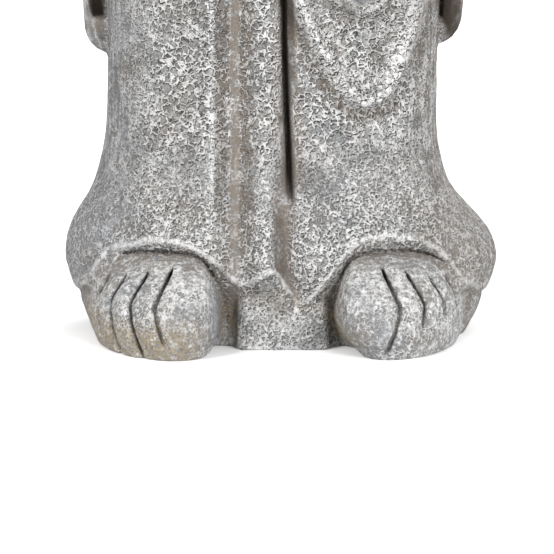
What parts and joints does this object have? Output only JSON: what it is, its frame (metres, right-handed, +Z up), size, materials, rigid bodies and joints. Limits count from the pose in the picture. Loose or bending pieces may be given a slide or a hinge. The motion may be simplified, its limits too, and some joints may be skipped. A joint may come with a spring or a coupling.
{
  "type": "stone jizo statue",
  "caption": "Standing garden statue of a small monk with joined hands, wide hanging sleeves, a pleated robe and bare feet, carved as one block on a flat underside.",
  "frame": {"origin": "middle of the outline seen from above, on the ground plane under the flat underside", "axes": "+Z up through the head, the figure faces -Y, +X is the figure's left, which is the viewer's right"},
  "size_m": [0.1932, 0.1562, 0.46],
  "materials": {
    "stone": "rough, pitted grey stone with worn pale high spots and a brown stain in the folds"
  },
  "bodies": {
    "root": {"jizo_statue": "stone"}
  },
  "joints": []
}
